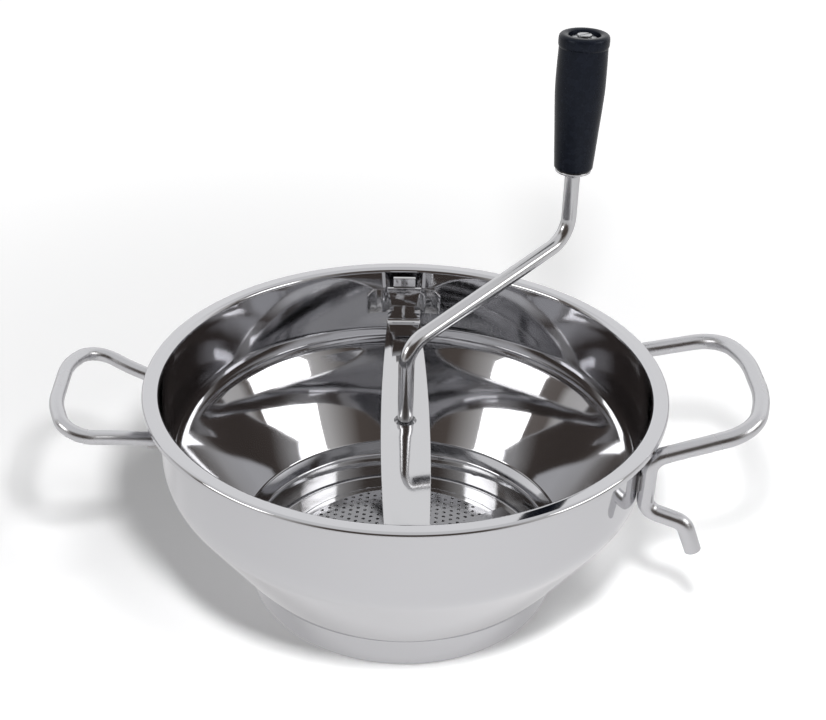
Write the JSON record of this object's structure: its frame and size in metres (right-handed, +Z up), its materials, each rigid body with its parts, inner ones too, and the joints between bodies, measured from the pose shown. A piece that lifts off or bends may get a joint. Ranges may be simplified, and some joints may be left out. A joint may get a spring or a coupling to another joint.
{
  "type": "rotary food mill",
  "caption": "Hand-cranked stainless food mill: flanged bowl with wire handles and rest hook, sprung cross bar, ramp blade over a sieve disc, and a crank with a turning grip.",
  "frame": {"origin": "on the bowl's axis at the plane of its foot", "axes": "+Z up along the bowl's axis, +X towards the handle with the rest hook, +Y along the cross bar, away from the side with the rest hook's leg"},
  "size_m": [0.3516, 0.26, 0.2722],
  "materials": {
    "polished_steel": "mirror polished",
    "satin_steel": "satin",
    "black_plastic": "smooth gloss"
  },
  "bodies": {
    "bowl_body": {"bowl": "polished_steel", "plain_handle": "polished_steel", "hook_handle": "polished_steel", "plain_handle_welds": "satin_steel", "hook_handle_welds": "satin_steel", "strap_rear": "satin_steel", "strap_front": "satin_steel", "sieve_disc": "satin_steel", "disc_eyelet": "satin_steel"},
    "bar": {"cross_bar": "polished_steel", "spring_seat_upper": "satin_steel"},
    "spring_carrier": {"spring_seat_lower": "satin_steel", "spring": "satin_steel"},
    "crank": {"crank_rod": "polished_steel", "blade_hub": "satin_steel", "hub_pin": "satin_steel", "blade": "satin_steel", "grip_ferrule": "polished_steel", "grip_stop_ring": "polished_steel", "grip_washer": "satin_steel", "grip_screw": "satin_steel"},
    "hand_grip": {"grip": "black_plastic"}
  },
  "joints": [
    {"name": "bar_press", "type": "slide", "parent": "bowl_body", "child": "bar", "axis": [0, 0, -1], "range_m": [0, 0.017], "stiffness_N_per_m": 1500, "springref_m": -0.02, "deforming": ["spring"]},
    {"name": "crank_lift", "type": "slide", "parent": "bowl_body", "child": "spring_carrier", "axis": [0, 0, 1], "range_m": [0, 0.005], "stiffness_N_per_m": 1500, "springref_m": -0.02, "deforming": ["spring"]},
    {"name": "crank_turn", "type": "hinge", "parent": "spring_carrier", "child": "crank", "pos_m": [0, 0, 0.06], "axis": [0, 0, 1], "continuous": true},
    {"name": "grip_spin", "type": "hinge", "parent": "crank", "child": "hand_grip", "pos_m": [0.08476, 0.06742, 0.236], "axis": [0, 0, 1], "continuous": true}
  ]
}
